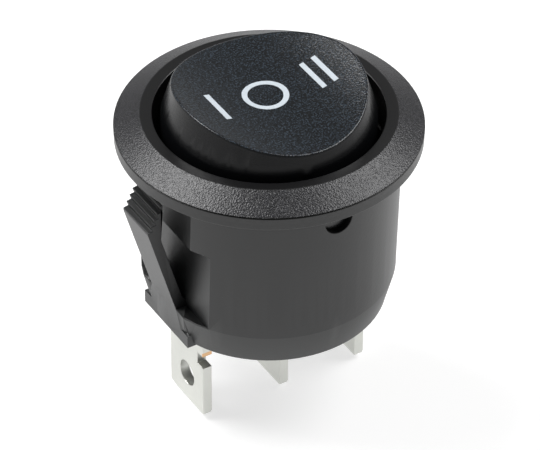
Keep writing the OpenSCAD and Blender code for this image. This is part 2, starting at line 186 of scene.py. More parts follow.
@dataclass(frozen=True)
class MouldedNylon(Finish):
    """Nylon 66 with carbon black, injection moulded in a tool with three textures.

    The cone of the bezel is spark-eroded, so it sparkles; the ring inside it is polished, so it stays dark;
    the barrel is finely matt, so it only turns pale where it is seen at a low angle. Its foot band is painted
    a little greyer, as a painted reflection of the bright floor below it.
    """

    cloud_colour: str = "#161717"
    cone_dark: str = "#0c0c0e"
    cone_pale: str = "#2e2e32"
    ring_colour: str = "#111112"
    # Painted reflection: below this height the foot band is coloured a lighter grey that stands in for the
    # bright floor reflected in it
    foot_sheen_colour: str = "#2c2d2d"
    foot_sheen_below_mm: float = -11.7
    # Real spark grain is about 0.05 mm; it is drawn coarser so that it still shows at the size of the render
    spark_mm: float = 0.12
    spark_deep_mm: float = 0.04
    matt_mm: float = 0.25
    matt_deep_mm: float = 0.006
    cloud_mm: float = 3.0
    cone_from_mm: float = 9.52
    face_above_mm: float = 1.12
    cone_roughness: float = 0.3
    ring_roughness: float = 0.3
    speckle_range: tuple[float, float] = (0.35, 0.65)

    def dress(self, tree: bpy.types.NodeTree, shader: bpy.types.Node, position: bpy.types.NodeSocket) -> None:
        """Sparks the bezel's cone, polishes the ring inside it, leaves the barrel finely matt and paints its
        foot lighter as a painted reflection of the floor.

        Args:
            tree: the material's node tree.
            shader: its Principled shader.
            position: the object coordinates, in metres.
        """
        flat = add_node(tree, "ShaderNodeVectorMath", {0: position, 1: (1, 1, 0)}, operation="MULTIPLY")
        radius = add_node(tree, "ShaderNodeVectorMath", {0: flat}, operation="LENGTH").outputs["Value"]
        height = add_node(tree, "ShaderNodeSeparateXYZ", {0: position}).outputs["Z"]
        face = add_node(tree, "ShaderNodeMath", {
            0: height, 1: self.face_above_mm * MM,
        }, operation="GREATER_THAN")
        outer = add_node(tree, "ShaderNodeMath", {
            0: radius, 1: self.cone_from_mm * MM,
        }, operation="GREATER_THAN")
        cone = add_node(tree, "ShaderNodeMath", {0: face, 1: outer}, operation="MULTIPLY")
        ring = add_node(tree, "ShaderNodeMath", {0: face, 1: cone}, operation="SUBTRACT")

        sparks = add_node(tree, "ShaderNodeTexNoise", {
            "Vector": position, "Scale": 1 / (self.spark_mm * MM), "Detail": 1.0, "Roughness": 0.5,
        })
        matt = add_node(tree, "ShaderNodeTexNoise", {
            "Vector": position, "Scale": 1 / (self.matt_mm * MM), "Detail": 2.0, "Roughness": 0.6,
        })
        cloud = add_node(tree, "ShaderNodeTexNoise", {
            "Vector": position, "Scale": 1 / (self.cloud_mm * MM), "Detail": 2.0,
        })
        body = add_node(tree, "ShaderNodeMix", {
            "Factor": cloud, "A": linear(self.colour), "B": linear(self.cloud_colour),
        }, data_type="RGBA")
        dark, pale = self.speckle_range
        speckled = add_node(tree, "ShaderNodeMix", {
            "Factor": add_node(tree, "ShaderNodeMapRange", {
                "Value": sparks, "From Min": dark, "From Max": pale,
            }),
            "A": linear(self.cone_dark),
            "B": linear(self.cone_pale),
        }, data_type="RGBA")
        with_cone = add_node(tree, "ShaderNodeMix", {
            "Factor": cone, "A": body, "B": speckled,
        }, data_type="RGBA")
        with_ring = add_node(tree, "ShaderNodeMix", {
            "Factor": ring, "A": with_cone, "B": linear(self.ring_colour),
        }, data_type="RGBA")
        # Painted reflection: the foot band below this height is mixed to the lighter grey that stands in for
        # the floor reflected in it
        foot = add_node(tree, "ShaderNodeMath", {
            0: height, 1: self.foot_sheen_below_mm * MM,
        }, operation="LESS_THAN")
        with_foot_sheen = add_node(tree, "ShaderNodeMix", {
            "Factor": foot, "A": with_ring, "B": linear(self.foot_sheen_colour),
        }, data_type="RGBA")
        tree.links.new(with_foot_sheen.outputs["Result"], shader.inputs["Base Color"])

        rougher_cone = add_node(tree, "ShaderNodeMath", {
            0: cone, 1: self.cone_roughness - self.roughness, 2: self.roughness,
        }, operation="MULTIPLY_ADD")
        rough = add_node(tree, "ShaderNodeMath", {
            0: ring, 1: self.ring_roughness - self.roughness, 2: rougher_cone,
        }, operation="MULTIPLY_ADD")
        tree.links.new(rough.outputs[0], shader.inputs["Roughness"])

        fine_bump = add_node(tree, "ShaderNodeBump", {"Distance": self.matt_deep_mm * MM, "Height": matt})
        spark_bump = add_node(tree, "ShaderNodeBump", {
            "Strength": cone, "Distance": self.spark_deep_mm * MM, "Height": sparks, "Normal": fine_bump,
        })
        tree.links.new(spark_bump.outputs[0], shader.inputs["Normal"])


@dataclass(frozen=True)
class EtchedNylon(Finish):
    """Black nylon, injection moulded: the touch face is etched, the drafted side is nearly smooth.

    The etch scatters a cold grey sheen over the face, and the side reflects softly.
    """

    side_colour: str = "#0c0d0f"
    speck_colour: str = "#2b343d"
    # Real etch is about 0.04 mm; it is drawn coarser so that it still shows at the size of the render
    etch_mm: float = 0.13
    etch_deep_mm: float = 0.02
    side_deep_mm: float = 0.004
    face_roughness: float = 0.24
    skin_mm: float = 0.06
    speckle_range: tuple[float, float] = (0.45, 0.68)

    def dress(self, tree: bpy.types.NodeTree, shader: bpy.types.Node, position: bpy.types.NodeSocket) -> None:
        """Etches the dished face and keeps the side smooth.

        Args:
            tree: the material's node tree.
            shader: its Principled shader.
            position: the object coordinates, in metres.
        """
        parts = add_node(tree, "ShaderNodeSeparateXYZ", {0: position})
        square = add_node(tree, "ShaderNodeMath", {
            0: parts.outputs["X"], 1: parts.outputs["X"],
        }, operation="MULTIPLY")
        # The dish is shallow enough to be followed by a parabola here
        above_dish = add_node(tree, "ShaderNodeMath", {
            0: square, 1: -1 / (2 * DISH_RADIUS_MM * MM), 2: parts.outputs["Z"],
        }, operation="MULTIPLY_ADD")
        face = add_node(tree, "ShaderNodeMath", {
            0: above_dish, 1: (DISH_LOW_MM - self.skin_mm) * MM,
        }, operation="GREATER_THAN")

        etch = add_node(tree, "ShaderNodeTexNoise", {
            "Vector": position, "Scale": 1 / (self.etch_mm * MM), "Detail": 1.0, "Roughness": 0.5,
        })
        dark, pale = self.speckle_range
        specks = add_node(tree, "ShaderNodeMix", {
            "Factor": add_node(tree, "ShaderNodeMapRange", {
                "Value": etch, "From Min": dark, "From Max": pale,
            }),
            "A": linear(self.colour),
            "B": linear(self.speck_colour),
        }, data_type="RGBA")
        colour = add_node(tree, "ShaderNodeMix", {
            "Factor": face, "A": linear(self.side_colour), "B": specks,
        }, data_type="RGBA")
        tree.links.new(colour.outputs["Result"], shader.inputs["Base Color"])
        rough = add_node(tree, "ShaderNodeMath", {
            0: face, 1: self.face_roughness - self.roughness, 2: self.roughness,
        }, operation="MULTIPLY_ADD")
        tree.links.new(rough.outputs[0], shader.inputs["Roughness"])
        smooth = add_node(tree, "ShaderNodeBump", {"Distance": self.side_deep_mm * MM, "Height": etch})
        bump = add_node(tree, "ShaderNodeBump", {
            "Strength": face, "Distance": self.etch_deep_mm * MM, "Height": etch, "Normal": smooth,
        })
        tree.links.new(bump.outputs[0], shader.inputs["Normal"])


@dataclass(frozen=True)
class MattTinPlate(Finish):
    """Matt tin on stamped brass: pale and soft, with bare brass where each blade was cut from its strip."""

    cloud_colour: str = "#d0d1cc"
    bare_colour: str = "#dcb48a"
    bare_mm: tuple[float, float] = (-17.0, -16.5)
    bare_edge_mm: float = -2.3
    brush_mm: float = 0.12
    cloud_mm: float = 1.5
    stretch: tuple[float, float, float] = (1.0, 1.0, 0.12)
    brush_rough: float = 0.18
    relief: float = 0.15
    relief_mm: float = 0.01

    def dress(self, tree: bpy.types.NodeTree, shader: bpy.types.Node, position: bpy.types.NodeSocket) -> None:
        """Brushes the plate along the blade and bares the metal at the carrier's cut.

        Args:
            tree: the material's node tree.
            shader: its Principled shader.
            position: the object coordinates, in metres.
        """
        along = add_node(tree, "ShaderNodeMapping", {"Vector": position, "Scale": self.stretch})
        brush = add_node(tree, "ShaderNodeTexNoise", {
            "Vector": along, "Scale": 1 / (self.brush_mm * MM), "Detail": 3.0, "Roughness": 0.6,
        })
        cloud = add_node(tree, "ShaderNodeTexNoise", {
            "Vector": position, "Scale": 1 / (self.cloud_mm * MM), "Detail": 2.0,
        })
        tone = add_node(tree, "ShaderNodeMix", {
            "Factor": cloud, "A": linear(self.colour), "B": linear(self.cloud_colour),
        }, data_type="RGBA")
        parts = add_node(tree, "ShaderNodeSeparateXYZ", {0: position})
        edge = add_node(tree, "ShaderNodeMath", {
            0: parts.outputs["Y"], 1: self.bare_edge_mm * MM,
        }, operation="LESS_THAN")
        low, high = self.bare_mm
        cut = add_node(tree, "ShaderNodeMath", {
            0: parts.outputs["Z"], 1: (low + high) / 2 * MM, 2: (high - low) / 2 * MM,
        }, operation="COMPARE")
        bare = add_node(tree, "ShaderNodeMath", {0: edge, 1: cut}, operation="MULTIPLY")
        colour = add_node(tree, "ShaderNodeMix", {
            "Factor": bare, "A": tone, "B": linear(self.bare_colour),
        }, data_type="RGBA")
        tree.links.new(colour.outputs["Result"], shader.inputs["Base Color"])
        rough = add_node(tree, "ShaderNodeMath", {
            0: brush, 1: self.brush_rough, 2: self.roughness,
        }, operation="MULTIPLY_ADD")
        tree.links.new(rough.outputs[0], shader.inputs["Roughness"])
        bump = add_node(tree, "ShaderNodeBump", {
            "Strength": self.relief, "Distance": self.relief_mm * MM, "Height": brush,
        })
        tree.links.new(bump.outputs[0], shader.inputs["Normal"])


@dataclass(frozen=True)
class PadPrintedInk(Finish):
    """Pad-printed white ink: nearly flat, and a little thin in places."""

    thin_colour: str = "#b9c2ca"
    mottle_mm: float = 0.2

    def dress(self, tree: bpy.types.NodeTree, shader: bpy.types.Node, position: bpy.types.NodeSocket) -> None:
        """Mottles the ink slightly.

        Args:
            tree: the material's node tree.
            shader: its Principled shader.
            position: the object coordinates, in metres.
        """
        mottle = add_node(tree, "ShaderNodeTexNoise", {
            "Vector": position, "Scale": 1 / (self.mottle_mm * MM), "Detail": 2.0,
        })
        colour = add_node(tree, "ShaderNodeMix", {
            "Factor": mottle, "A": linear(self.colour), "B": linear(self.thin_colour),
        }, data_type="RGBA")
        tree.links.new(colour.outputs["Result"], shader.inputs["Base Color"])


@dataclass(frozen=True)
class WorkedSurface(Finish):
    """A plain worked surface: fine marks of the tool that drew, rolled, headed or turned it."""

    second_colour: str = "#808080"
    mark_mm: float = 0.1
    stretch: tuple[float, float, float] = (1.0, 1.0, 1.0)
    mark_rough: float = 0.15
    relief: float = 0.2
    relief_mm: float = 0.01

    def dress(self, tree: bpy.types.NodeTree, shader: bpy.types.Node, position: bpy.types.NodeSocket) -> None:
        """Adds the tool's marks to colour, roughness and relief.

        Args:
            tree: the material's node tree.
            shader: its Principled shader.
            position: the object coordinates, in metres.
        """
        along = add_node(tree, "ShaderNodeMapping", {"Vector": position, "Scale": self.stretch})
        marks = add_node(tree, "ShaderNodeTexNoise", {
            "Vector": along, "Scale": 1 / (self.mark_mm * MM), "Detail": 3.0, "Roughness": 0.6,
        })
        colour = add_node(tree, "ShaderNodeMix", {
            "Factor": marks, "A": linear(self.colour), "B": linear(self.second_colour),
        }, data_type="RGBA")
        tree.links.new(colour.outputs["Result"], shader.inputs["Base Color"])
        rough = add_node(tree, "ShaderNodeMath", {
            0: marks, 1: self.mark_rough, 2: self.roughness,
        }, operation="MULTIPLY_ADD")
        tree.links.new(rough.outputs[0], shader.inputs["Roughness"])
        bump = add_node(tree, "ShaderNodeBump", {
            "Strength": self.relief, "Distance": self.relief_mm * MM, "Height": marks,
        })
        tree.links.new(bump.outputs[0], shader.inputs["Normal"])


@dataclass(frozen=True)
class StudioPaper(Finish):
    """White backdrop paper on a light table, so shadows on it stay pale; its light fades further out."""

    glow: float = 0.66
    far_glow: float = 0.42
    lit_mm: float = 50.0
    faded_mm: float = 130.0

    def dress(self, tree: bpy.types.NodeTree, shader: bpy.types.Node, position: bpy.types.NodeSocket) -> None:
        """Lights the paper round the switch and fades it outward.

        Args:
            tree: the material's node tree.
            shader: its Principled shader.
            position: the object coordinates, in metres.
        """
        away = add_node(tree, "ShaderNodeVectorMath", {0: position}, operation="LENGTH").outputs["Value"]
        near = add_node(tree, "ShaderNodeMapRange", {
            "Value": away,
            "From Min": self.lit_mm * MM,
            "From Max": self.faded_mm * MM,
            "To Min": 1.0,
            "To Max": 0.0,
        }, interpolation_type="SMOOTHSTEP")
        paper = add_node(tree, "ShaderNodeMix", {
            "Factor": near, "A": linear("#000000"), "B": linear(self.colour),
        }, data_type="RGBA")
        tree.links.new(paper.outputs["Result"], shader.inputs["Base Color"])
        light = add_node(tree, "ShaderNodeMath", {
            0: near, 1: self.glow - self.far_glow, 2: self.far_glow,
        }, operation="MULTIPLY_ADD")
        shader.inputs["Emission Color"].default_value = linear("#ffffff")
        tree.links.new(light.outputs[0], shader.inputs["Emission Strength"])


# ---- Pieces with broken edges --------------------------------------------------------------


@dataclass(frozen=True)
class BrokenEdges:
    """The sharp edges of a piece that lie in one zone, and how wide each of them is broken."""

    width_mm: float
    radius_mm: tuple[float, float] = (0.0, 20.0)
    height_mm: tuple[float, float] = (-25.0, 5.0)
    within_y_mm: float = 20.0
    least_deg: float = 25.0

    def holds(self, point: Vector) -> bool:
        """Tells whether a point lies in the zone.

        Args:
            point: the point, in metres.

        Returns:
            True inside the zone.
        """
        radius = math.hypot(point.x, point.y) / MM
        height = point.z / MM
        near, far = self.radius_mm
        low, high = self.height_mm
        return near <= radius <= far and low <= height <= high and abs(point.y) / MM <= self.within_y_mm


@dataclass
class SoftenedSolid:
    """A piece shown as a copy of its solid with its edges broken, as a mould or a press leaves them."""

    node: str
    body: str
    slot: str
    material: bpy.types.Material
    broken: tuple[BrokenEdges, ...] = ()
    sharp_deg: float = 10.0
    flat_deg: float = 0.6
    facet_deg: float = 5.0
    revolved_from_mm: float = 7.0
    least_level: float = 0.05
    segments: int = 3

    def reshape(self, shape: bmesh.types.BMesh) -> None:
        """Changes the joined copy before its edges are broken.

        Args:
            shape: the copy.
        """

    def weigh(self, shape: bmesh.types.BMesh, widest: float) -> None:
        """Marks how wide each sharp edge is broken, as a share of the widest.

        Args:
            shape: the joined copy.
            widest: the greatest width, in millimetres.
        """
        weight = shape.edges.layers.float.new("bevel_weight_edge")
        for edge in shape.edges:
            if not edge.is_manifold:
                continue
            bend = math.degrees(edge.calc_face_angle())
            for zone in self.broken:
                if bend > zone.least_deg and all(zone.holds(vert.co) for vert in edge.verts):
                    edge[weight] = zone.width_mm / widest
                    break

    def round_shading(self, mesh: bpy.types.Mesh) -> None:
        """Turns the shading at each corner of a revolved facet to that corner's own azimuth.

        Args:
            mesh: the finished mesh.
        """
        normals = [Vector(corner.vector) for corner in mesh.corner_normals]
        for facet in mesh.polygons:
            level = Vector((facet.normal.x, facet.normal.y))
            spots = [Vector(mesh.vertices[i].co[:2]) for i in facet.vertices]
            nearest = min(spot.length for spot in spots)
            if level.length < self.least_level or nearest < self.revolved_from_mm * MM:
                continue
            sense = 1 if level.dot(spots[0]) > 0 else -1
            if max(level.angle(spot * sense) for spot in spots) > math.radians(self.facet_deg):
                continue
            for corner, spot in zip(facet.loop_indices, spots):
                out = spot.normalized() * sense * Vector(normals[corner][:2]).length
                normals[corner] = Vector((out.x, out.y, normals[corner].z))
        mesh.normals_split_custom_set(normals)

    def build(self) -> bpy.types.Object:
        """Copies the solid, joins its loose triangles and breaks its edges.

        Returns:
            The piece that stands for the node.
        """
        name = f"{self.node}_softened"
        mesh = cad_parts[self.node].data.copy()
        mesh.name = name
        shape = bmesh.new()
        shape.from_mesh(mesh)
        bmesh.ops.remove_doubles(shape, verts=shape.verts, dist=MERGE_MM * MM)
        bmesh.ops.dissolve_limit(
            shape, angle_limit=math.radians(self.flat_deg),
            verts=shape.verts, edges=shape.edges, delimit={"NORMAL"},
        )
        self.reshape(shape)
        widest = max((zone.width_mm for zone in self.broken), default=0.0)
        self.weigh(shape, widest)
        shape.to_mesh(mesh)
        shape.free()
        mesh.materials.clear()
        mesh.shade_smooth()
        mesh.set_sharp_from_angle(angle=math.radians(self.sharp_deg))
        piece = show(bpy.data.objects.new(name, mesh))
        if self.broken:
            bevel = piece.modifiers.new("broken edges", "BEVEL")
            bevel.width = widest * MM
            bevel.segments = self.segments
            bevel.limit_method = "WEIGHT"
            bevel.use_clamp_overlap = False
            bevel.loop_slide = False
            shading = piece.modifiers.new("shading by the larger faces", "WEIGHTED_NORMAL")
            shading.keep_sharp = True
        finished = bake_modifiers(piece)
        self.round_shading(finished)
        finished.materials.append(self.material)
        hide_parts(self.node)
        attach(piece, self.body)
        log.info("%s: %d faces", piece.name, len(finished.polygons))
        return piece


@dataclass
class CrownedRocker(SoftenedSolid):
    """The rocker, with the brow between its side and its dished face rounded by rings of facets."""

    lean: float = 0.32
    brow_mm: float = 0.14
    side_run: float = 1.6
    arc_steps: int = 4
    face_below_mm: float = 0.05
    face_up: float = 0.8
    face_rings: tuple[float, ...] = (0.985, 0.85, 0.7, 0.55, 0.4, 0.25, 0.1)

    def dish(self, x: float) -> float:
        """Gives the height of the dished face at a place along X, in metres."""
        radius = DISH_RADIUS_MM * MM
        return DISH_LOW_MM * MM + radius - math.sqrt(radius * radius - x * x)

    def rings(self, corner: Vector) -> list[Vector]:
        """Gives the column of points that rounds the brow at one place and runs on to the middle of the face.

        Args:
            corner: the sharp corner of the brow.

        Returns:
            The points, from the side to the middle.
        """
        out = Vector((corner.x, corner.y, 0)).normalized()
        down = (out * self.lean - Vector((0, 0, 1))).normalized()
        slope = corner.x / math.sqrt((DISH_RADIUS_MM * MM) ** 2 - corner.x ** 2)
        inward = Vector((-out.x, -out.y, -out.x * slope)).normalized()
        width = self.brow_mm * MM
        column = [corner + down * width * self.side_run]
        for step in range(self.arc_steps + 1):
            t = step / self.arc_steps
            column.append(corner + down * width * (1 - t) ** 2 + inward * width * t ** 2)
        rim = column[-1]
        column += [Vector((rim.x * s, rim.y * s, self.dish(rim.x * s))) for s in self.face_rings]
        return column

    def reshape(self, shape: bmesh.types.BMesh) -> None:
        """Takes the dished face off at its brow and closes the rocker again with a rounded brow.

        Args:
            shape: the joined copy.
        """
        low = (DISH_LOW_MM - self.face_below_mm) * MM
        face = [f for f in shape.faces if f.normal.z > self.face_up and min(v.co.z for v in f.verts) > low]
        brow = sorted({v for f in face for v in f.verts}, key=lambda v: math.atan2(v.co.y, v.co.x))
        bmesh.ops.delete(shape, geom=face, context="FACES_ONLY")
        loose = [e for e in shape.edges if not e.link_faces]
        bmesh.ops.delete(shape, geom=loose, context="EDGES")
        columns = []
        for vert in brow:
            points = self.rings(vert.co.copy())
            vert.co = points[0]
            columns.append([vert] + [shape.verts.new(point) for point in points[1:]])
        middle = shape.verts.new((0, 0, self.dish(0)))
        for here, there in zip(columns, columns[1:] + columns[:1]):
            for low_a, low_b, high_b, high_a in zip(here, there, there[1:], here[1:]):
                shape.faces.new((low_a, low_b, high_b, high_a))
            shape.faces.new((here[-1], there[-1], middle))
        shape.normal_update()


# ---- Printed marks -------------------------------------------------------------------------


class MarkShape(Enum):
    """The generic shapes printed on the rocker."""

    BARS = "bars"
    RING = "ring"


@dataclass
class PrintedMark:
    """A mark of ink that follows the dished face of the rocker."""

    name: str
    shape: MarkShape
    centre_mm: tuple[float, float]
    stroke_mm: float
    count: int = 1
    pitch_mm: float = 1.0
    length_mm: float = 3.35
    ring_mm: float = 1.75
    ink_mm: float = 0.015
    lift_mm: float = 0.002
    steps: int = 72
    bar_grid: tuple[int, int] = (4, 2)
    ring_rows: int = 3

    def bars(self, tree: bpy.types.NodeTree, ask: bpy.types.Node) -> bpy.types.Node:
        """Lays out a row of bars.

        Args:
            tree: the geometry tree.
            ask: its group input.

        Returns:
            The node that gives the flat mesh.
        """
        columns, rows = self.bar_grid
        bar = add_node(tree, "GeometryNodeMeshGrid", {
            "Size X": ask.outputs["Stroke"],
            "Size Y": ask.outputs["Length"],
            "Vertices X": columns,
            "Vertices Y": rows,
        })
        first = add_node(tree, "ShaderNodeMath", {
            0: ask.outputs["Pitch"], 1: (1 - self.count) / 2,
        }, operation="MULTIPLY")
        row = add_node(tree, "GeometryNodeMeshLine", {
            "Count": ask.outputs["Count"],
            "Start Location": add_node(tree, "ShaderNodeCombineXYZ", {"X": first}),
            "Offset": add_node(tree, "ShaderNodeCombineXYZ", {"X": ask.outputs["Pitch"]}),
        })
        placed = add_node(tree, "GeometryNodeInstanceOnPoints", {"Points": row, "Instance": bar})
        return add_node(tree, "GeometryNodeRealizeInstances", {"Geometry": placed})

    def ring(self, tree: bpy.types.NodeTree, ask: bpy.types.Node) -> bpy.types.Node:
        """Rolls a straight strip into a ring.

        Args:
            tree: the geometry tree.
            ask: its group input.

        Returns:
            The node that gives the flat mesh.
        """
        strip = add_node(tree, "GeometryNodeMeshGrid", {
            "Size X": math.tau,
            "Size Y": ask.outputs["Stroke"],
            "Vertices X": self.steps + 1,
            "Vertices Y": self.ring_rows,
        })
        place = add_node(tree, "ShaderNodeSeparateXYZ", {0: add_node(tree, "GeometryNodeInputPosition")})
        middle = add_node(tree, "ShaderNodeMath", {
            0: ask.outputs["Stroke"], 1: -0.5, 2: ask.outputs["Ring"],
        }, operation="MULTIPLY_ADD")
        reach = add_node(tree, "ShaderNodeMath", {0: middle, 1: place.outputs["Y"]}, operation="SUBTRACT")
        across = add_node(tree, "ShaderNodeMath", {0: place.outputs["X"]}, operation="COSINE")
        along = add_node(tree, "ShaderNodeMath", {0: place.outputs["X"]}, operation="SINE")
        bent = add_node(tree, "ShaderNodeCombineXYZ", {
            "X": add_node(tree, "ShaderNodeMath", {0: reach, 1: across}, operation="MULTIPLY"),
            "Y": add_node(tree, "ShaderNodeMath", {0: reach, 1: along}, operation="MULTIPLY"),
        })
        rolled = add_node(tree, "GeometryNodeSetPosition", {"Geometry": strip, "Position": bent})
        return add_node(tree, "GeometryNodeMergeByDistance", {
            "Geometry": rolled, "Distance": MERGE_MM * MM,
        })

    def tree(self, material: bpy.types.Material) -> bpy.types.NodeTree:
        """Builds the geometry tree: the flat mark is laid on the dish and given the ink's thickness.

        Args:
            material: the ink.

        Returns:
            The tree, with its sizes as named inputs.
        """
        tree = bpy.data.node_groups.new(f"{self.name} print", "GeometryNodeTree")
        lengths = (
            "Stroke", "Length", "Pitch", "Ring", "Centre X", "Centre Y", "Dish Low", "Dish Radius", "Ink",
        )
        for name in lengths:
            tree.interface.new_socket(name=name, in_out="INPUT", socket_type="NodeSocketFloat")
        tree.interface.new_socket(name="Count", in_out="INPUT", socket_type="NodeSocketInt")
        tree.interface.new_socket(name="Mark", in_out="OUTPUT", socket_type="NodeSocketGeometry")
        ask = add_node(tree, "NodeGroupInput")
        flat = self.ring(tree, ask) if self.shape is MarkShape.RING else self.bars(tree, ask)
        centre = add_node(tree, "ShaderNodeCombineXYZ", {
            "X": ask.outputs["Centre X"], "Y": ask.outputs["Centre Y"],
        })
        centred = add_node(tree, "GeometryNodeTransform", {"Geometry": flat, "Translation": centre})
        across = add_node(tree, "ShaderNodeSeparateXYZ", {
            0: add_node(tree, "GeometryNodeInputPosition"),
        }).outputs["X"]
        radius = ask.outputs["Dish Radius"]
        square = add_node(tree, "ShaderNodeMath", {0: across, 1: across}, operation="MULTIPLY")
        radius_square = add_node(tree, "ShaderNodeMath", {0: radius, 1: radius}, operation="MULTIPLY")
        rest = add_node(tree, "ShaderNodeMath", {0: radius_square, 1: square}, operation="SUBTRACT")
        drop = add_node(tree, "ShaderNodeMath", {0: rest}, operation="SQRT")
        rise = add_node(tree, "ShaderNodeMath", {0: radius, 1: drop}, operation="SUBTRACT")
        level = add_node(tree, "ShaderNodeMath", {0: rise, 1: ask.outputs["Dish Low"]}, operation="ADD")
        laid = add_node(tree, "GeometryNodeSetPosition", {
            "Geometry": centred, "Offset": add_node(tree, "ShaderNodeCombineXYZ", {"Z": level}),
        })
        raised = add_node(tree, "GeometryNodeExtrudeMesh", {
            "Mesh": laid, "Offset": (0, 0, 1), "Offset Scale": ask.outputs["Ink"], "Individual": False,
        })
        under = add_node(tree, "GeometryNodeFlipFaces", {0: laid})
        joined = add_node(tree, "GeometryNodeJoinGeometry", {0: under})
        tree.links.new(raised.outputs["Mesh"], joined.inputs[0])
        closed = add_node(tree, "GeometryNodeMergeByDistance", {
            "Geometry": joined, "Distance": MERGE_MM * MM,
        })
        real = add_node(tree, "GeometryNodeRealizeInstances", {"Geometry": closed})
        inked = add_node(tree, "GeometryNodeSetMaterial", {"Geometry": real, "Material": material})
        add_node(tree, "NodeGroupOutput", {0: inked})
        return tree

    def build(self, ink: bpy.types.Material) -> bpy.types.Object:
        """Prints the mark on the rocker.

        Args:
            ink: the ink's material.

        Returns:
            The finished mark, a plain closed mesh.
        """
        piece = show(bpy.data.objects.new(self.name, bpy.data.meshes.new(self.name)))
        modifier = piece.modifiers.new("print", "NODES")
        modifier.node_group = self.tree(ink)
        sizes = {
            "Stroke": self.stroke_mm * MM,
            "Length": self.length_mm * MM,
            "Pitch": self.pitch_mm * MM,
            "Ring": self.ring_mm * MM,
            "Centre X": self.centre_mm[0] * MM,
            "Centre Y": self.centre_mm[1] * MM,
            "Dish Low": (DISH_LOW_MM + self.lift_mm) * MM,
            "Dish Radius": DISH_RADIUS_MM * MM,
            "Ink": self.ink_mm * MM,
            "Count": self.count,
        }
        for item in modifier.node_group.interface.items_tree:
            if item.name in sizes:
                modifier[item.identifier] = sizes[item.name]
        printed = bake_modifiers(piece)
        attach(piece, "rocker_body")
        log.info("%s: %d faces", self.name, len(printed.polygons))
        return piece


# ---- Sub-assemblies ------------------------------------------------------------------------


@dataclass
class Housing:
    """The one-piece moulding: flange and bezel, barrel, latch arms and foot."""

    finish: Finish = MouldedNylon("moulded black nylon", "#131415", 0.4, ior=1.53)
    opening: BrokenEdges = BrokenEdges(0.08, radius_mm=(8.5, 8.7), height_mm=(1.9, 2.2))
    ring_edge: BrokenEdges = BrokenEdges(0.06, radius_mm=(9.4, 9.6), height_mm=(2.1, 2.2))
    flange_low: BrokenEdges = BrokenEdges(0.06, radius_mm=(11.3, 11.6), height_mm=(-0.1, 0.1))
    rim: BrokenEdges = BrokenEdges(0.05, radius_mm=(11.3, 11.6), height_mm=(0.9, 1.3))
    latch: BrokenEdges = BrokenEdges(0.05, radius_mm=(8.3, 12.0), height_mm=(-11.65, -1.5), within_y_mm=1.87)
    gusset: BrokenEdges = BrokenEdges(0.07, radius_mm=(9.3, 10.3), height_mm=(-14.2, -10.5), within_y_mm=1.87)
    foot: BrokenEdges = BrokenEdges(0.1, radius_mm=(9.5, 9.75), height_mm=(-11.8, -11.6))
    flats: BrokenEdges = BrokenEdges(0.06, radius_mm=(9.4, 9.9), height_mm=(-11.69, -1.3))

    def build(self) -> None:
        """Shows the housing with its edges broken."""
        zones = (
            self.opening, self.ring_edge, self.flange_low, self.rim,
            self.latch, self.gusset, self.foot, self.flats,
        )
        SoftenedSolid("housing", "switch_base", "black_nylon", self.finish.build(), zones).build()


@dataclass
class Rocker:
    """The dished rocker and the marks printed on it."""

    finish: Finish = EtchedNylon("etched black nylon", "#06090c", 0.26, ior=1.53)
    ink: Finish = PadPrintedInk("pad-printed white ink", "#ccd4da", 0.45)
    marks: tuple[PrintedMark, ...] = field(default_factory=lambda: (
        PrintedMark("single_bar_mark", MarkShape.BARS, (-4.26, 0.19), stroke_mm=0.46),
        PrintedMark("ring_mark", MarkShape.RING, (-0.2, 0.22), stroke_mm=0.42),
        PrintedMark("double_bar_mark", MarkShape.BARS, (4.29, 0.08), stroke_mm=0.38, count=2),
    ))

    def build(self) -> None:
        """Shows the rocker with its brow rounded, and prints its marks."""
        CrownedRocker("rocker", "rocker_body", "black_gloss", self.finish.build(), sharp_deg=28.0).build()
        ink = self.ink.build()
        for mark in self.marks:
            mark.build(ink)


@dataclass
class Terminals:
    """The three plated blades."""

    finish: Finish = MattTinPlate("matt tin plate", "#d9dad4", 0.3, metallic=1.0)
    stamped: BrokenEdges = BrokenEdges(0.06, height_mm=(-23.1, -14.6))

    def build(self) -> None:
        """Shows each blade with the rounded edges of a stamping."""
        plate = self.finish.build()
        for node in ("common_terminal", "i_side_terminal", "ii_side_terminal"):
            SoftenedSolid(node, "switch_base", "tinned_brass", plate, (self.stamped,)).build()


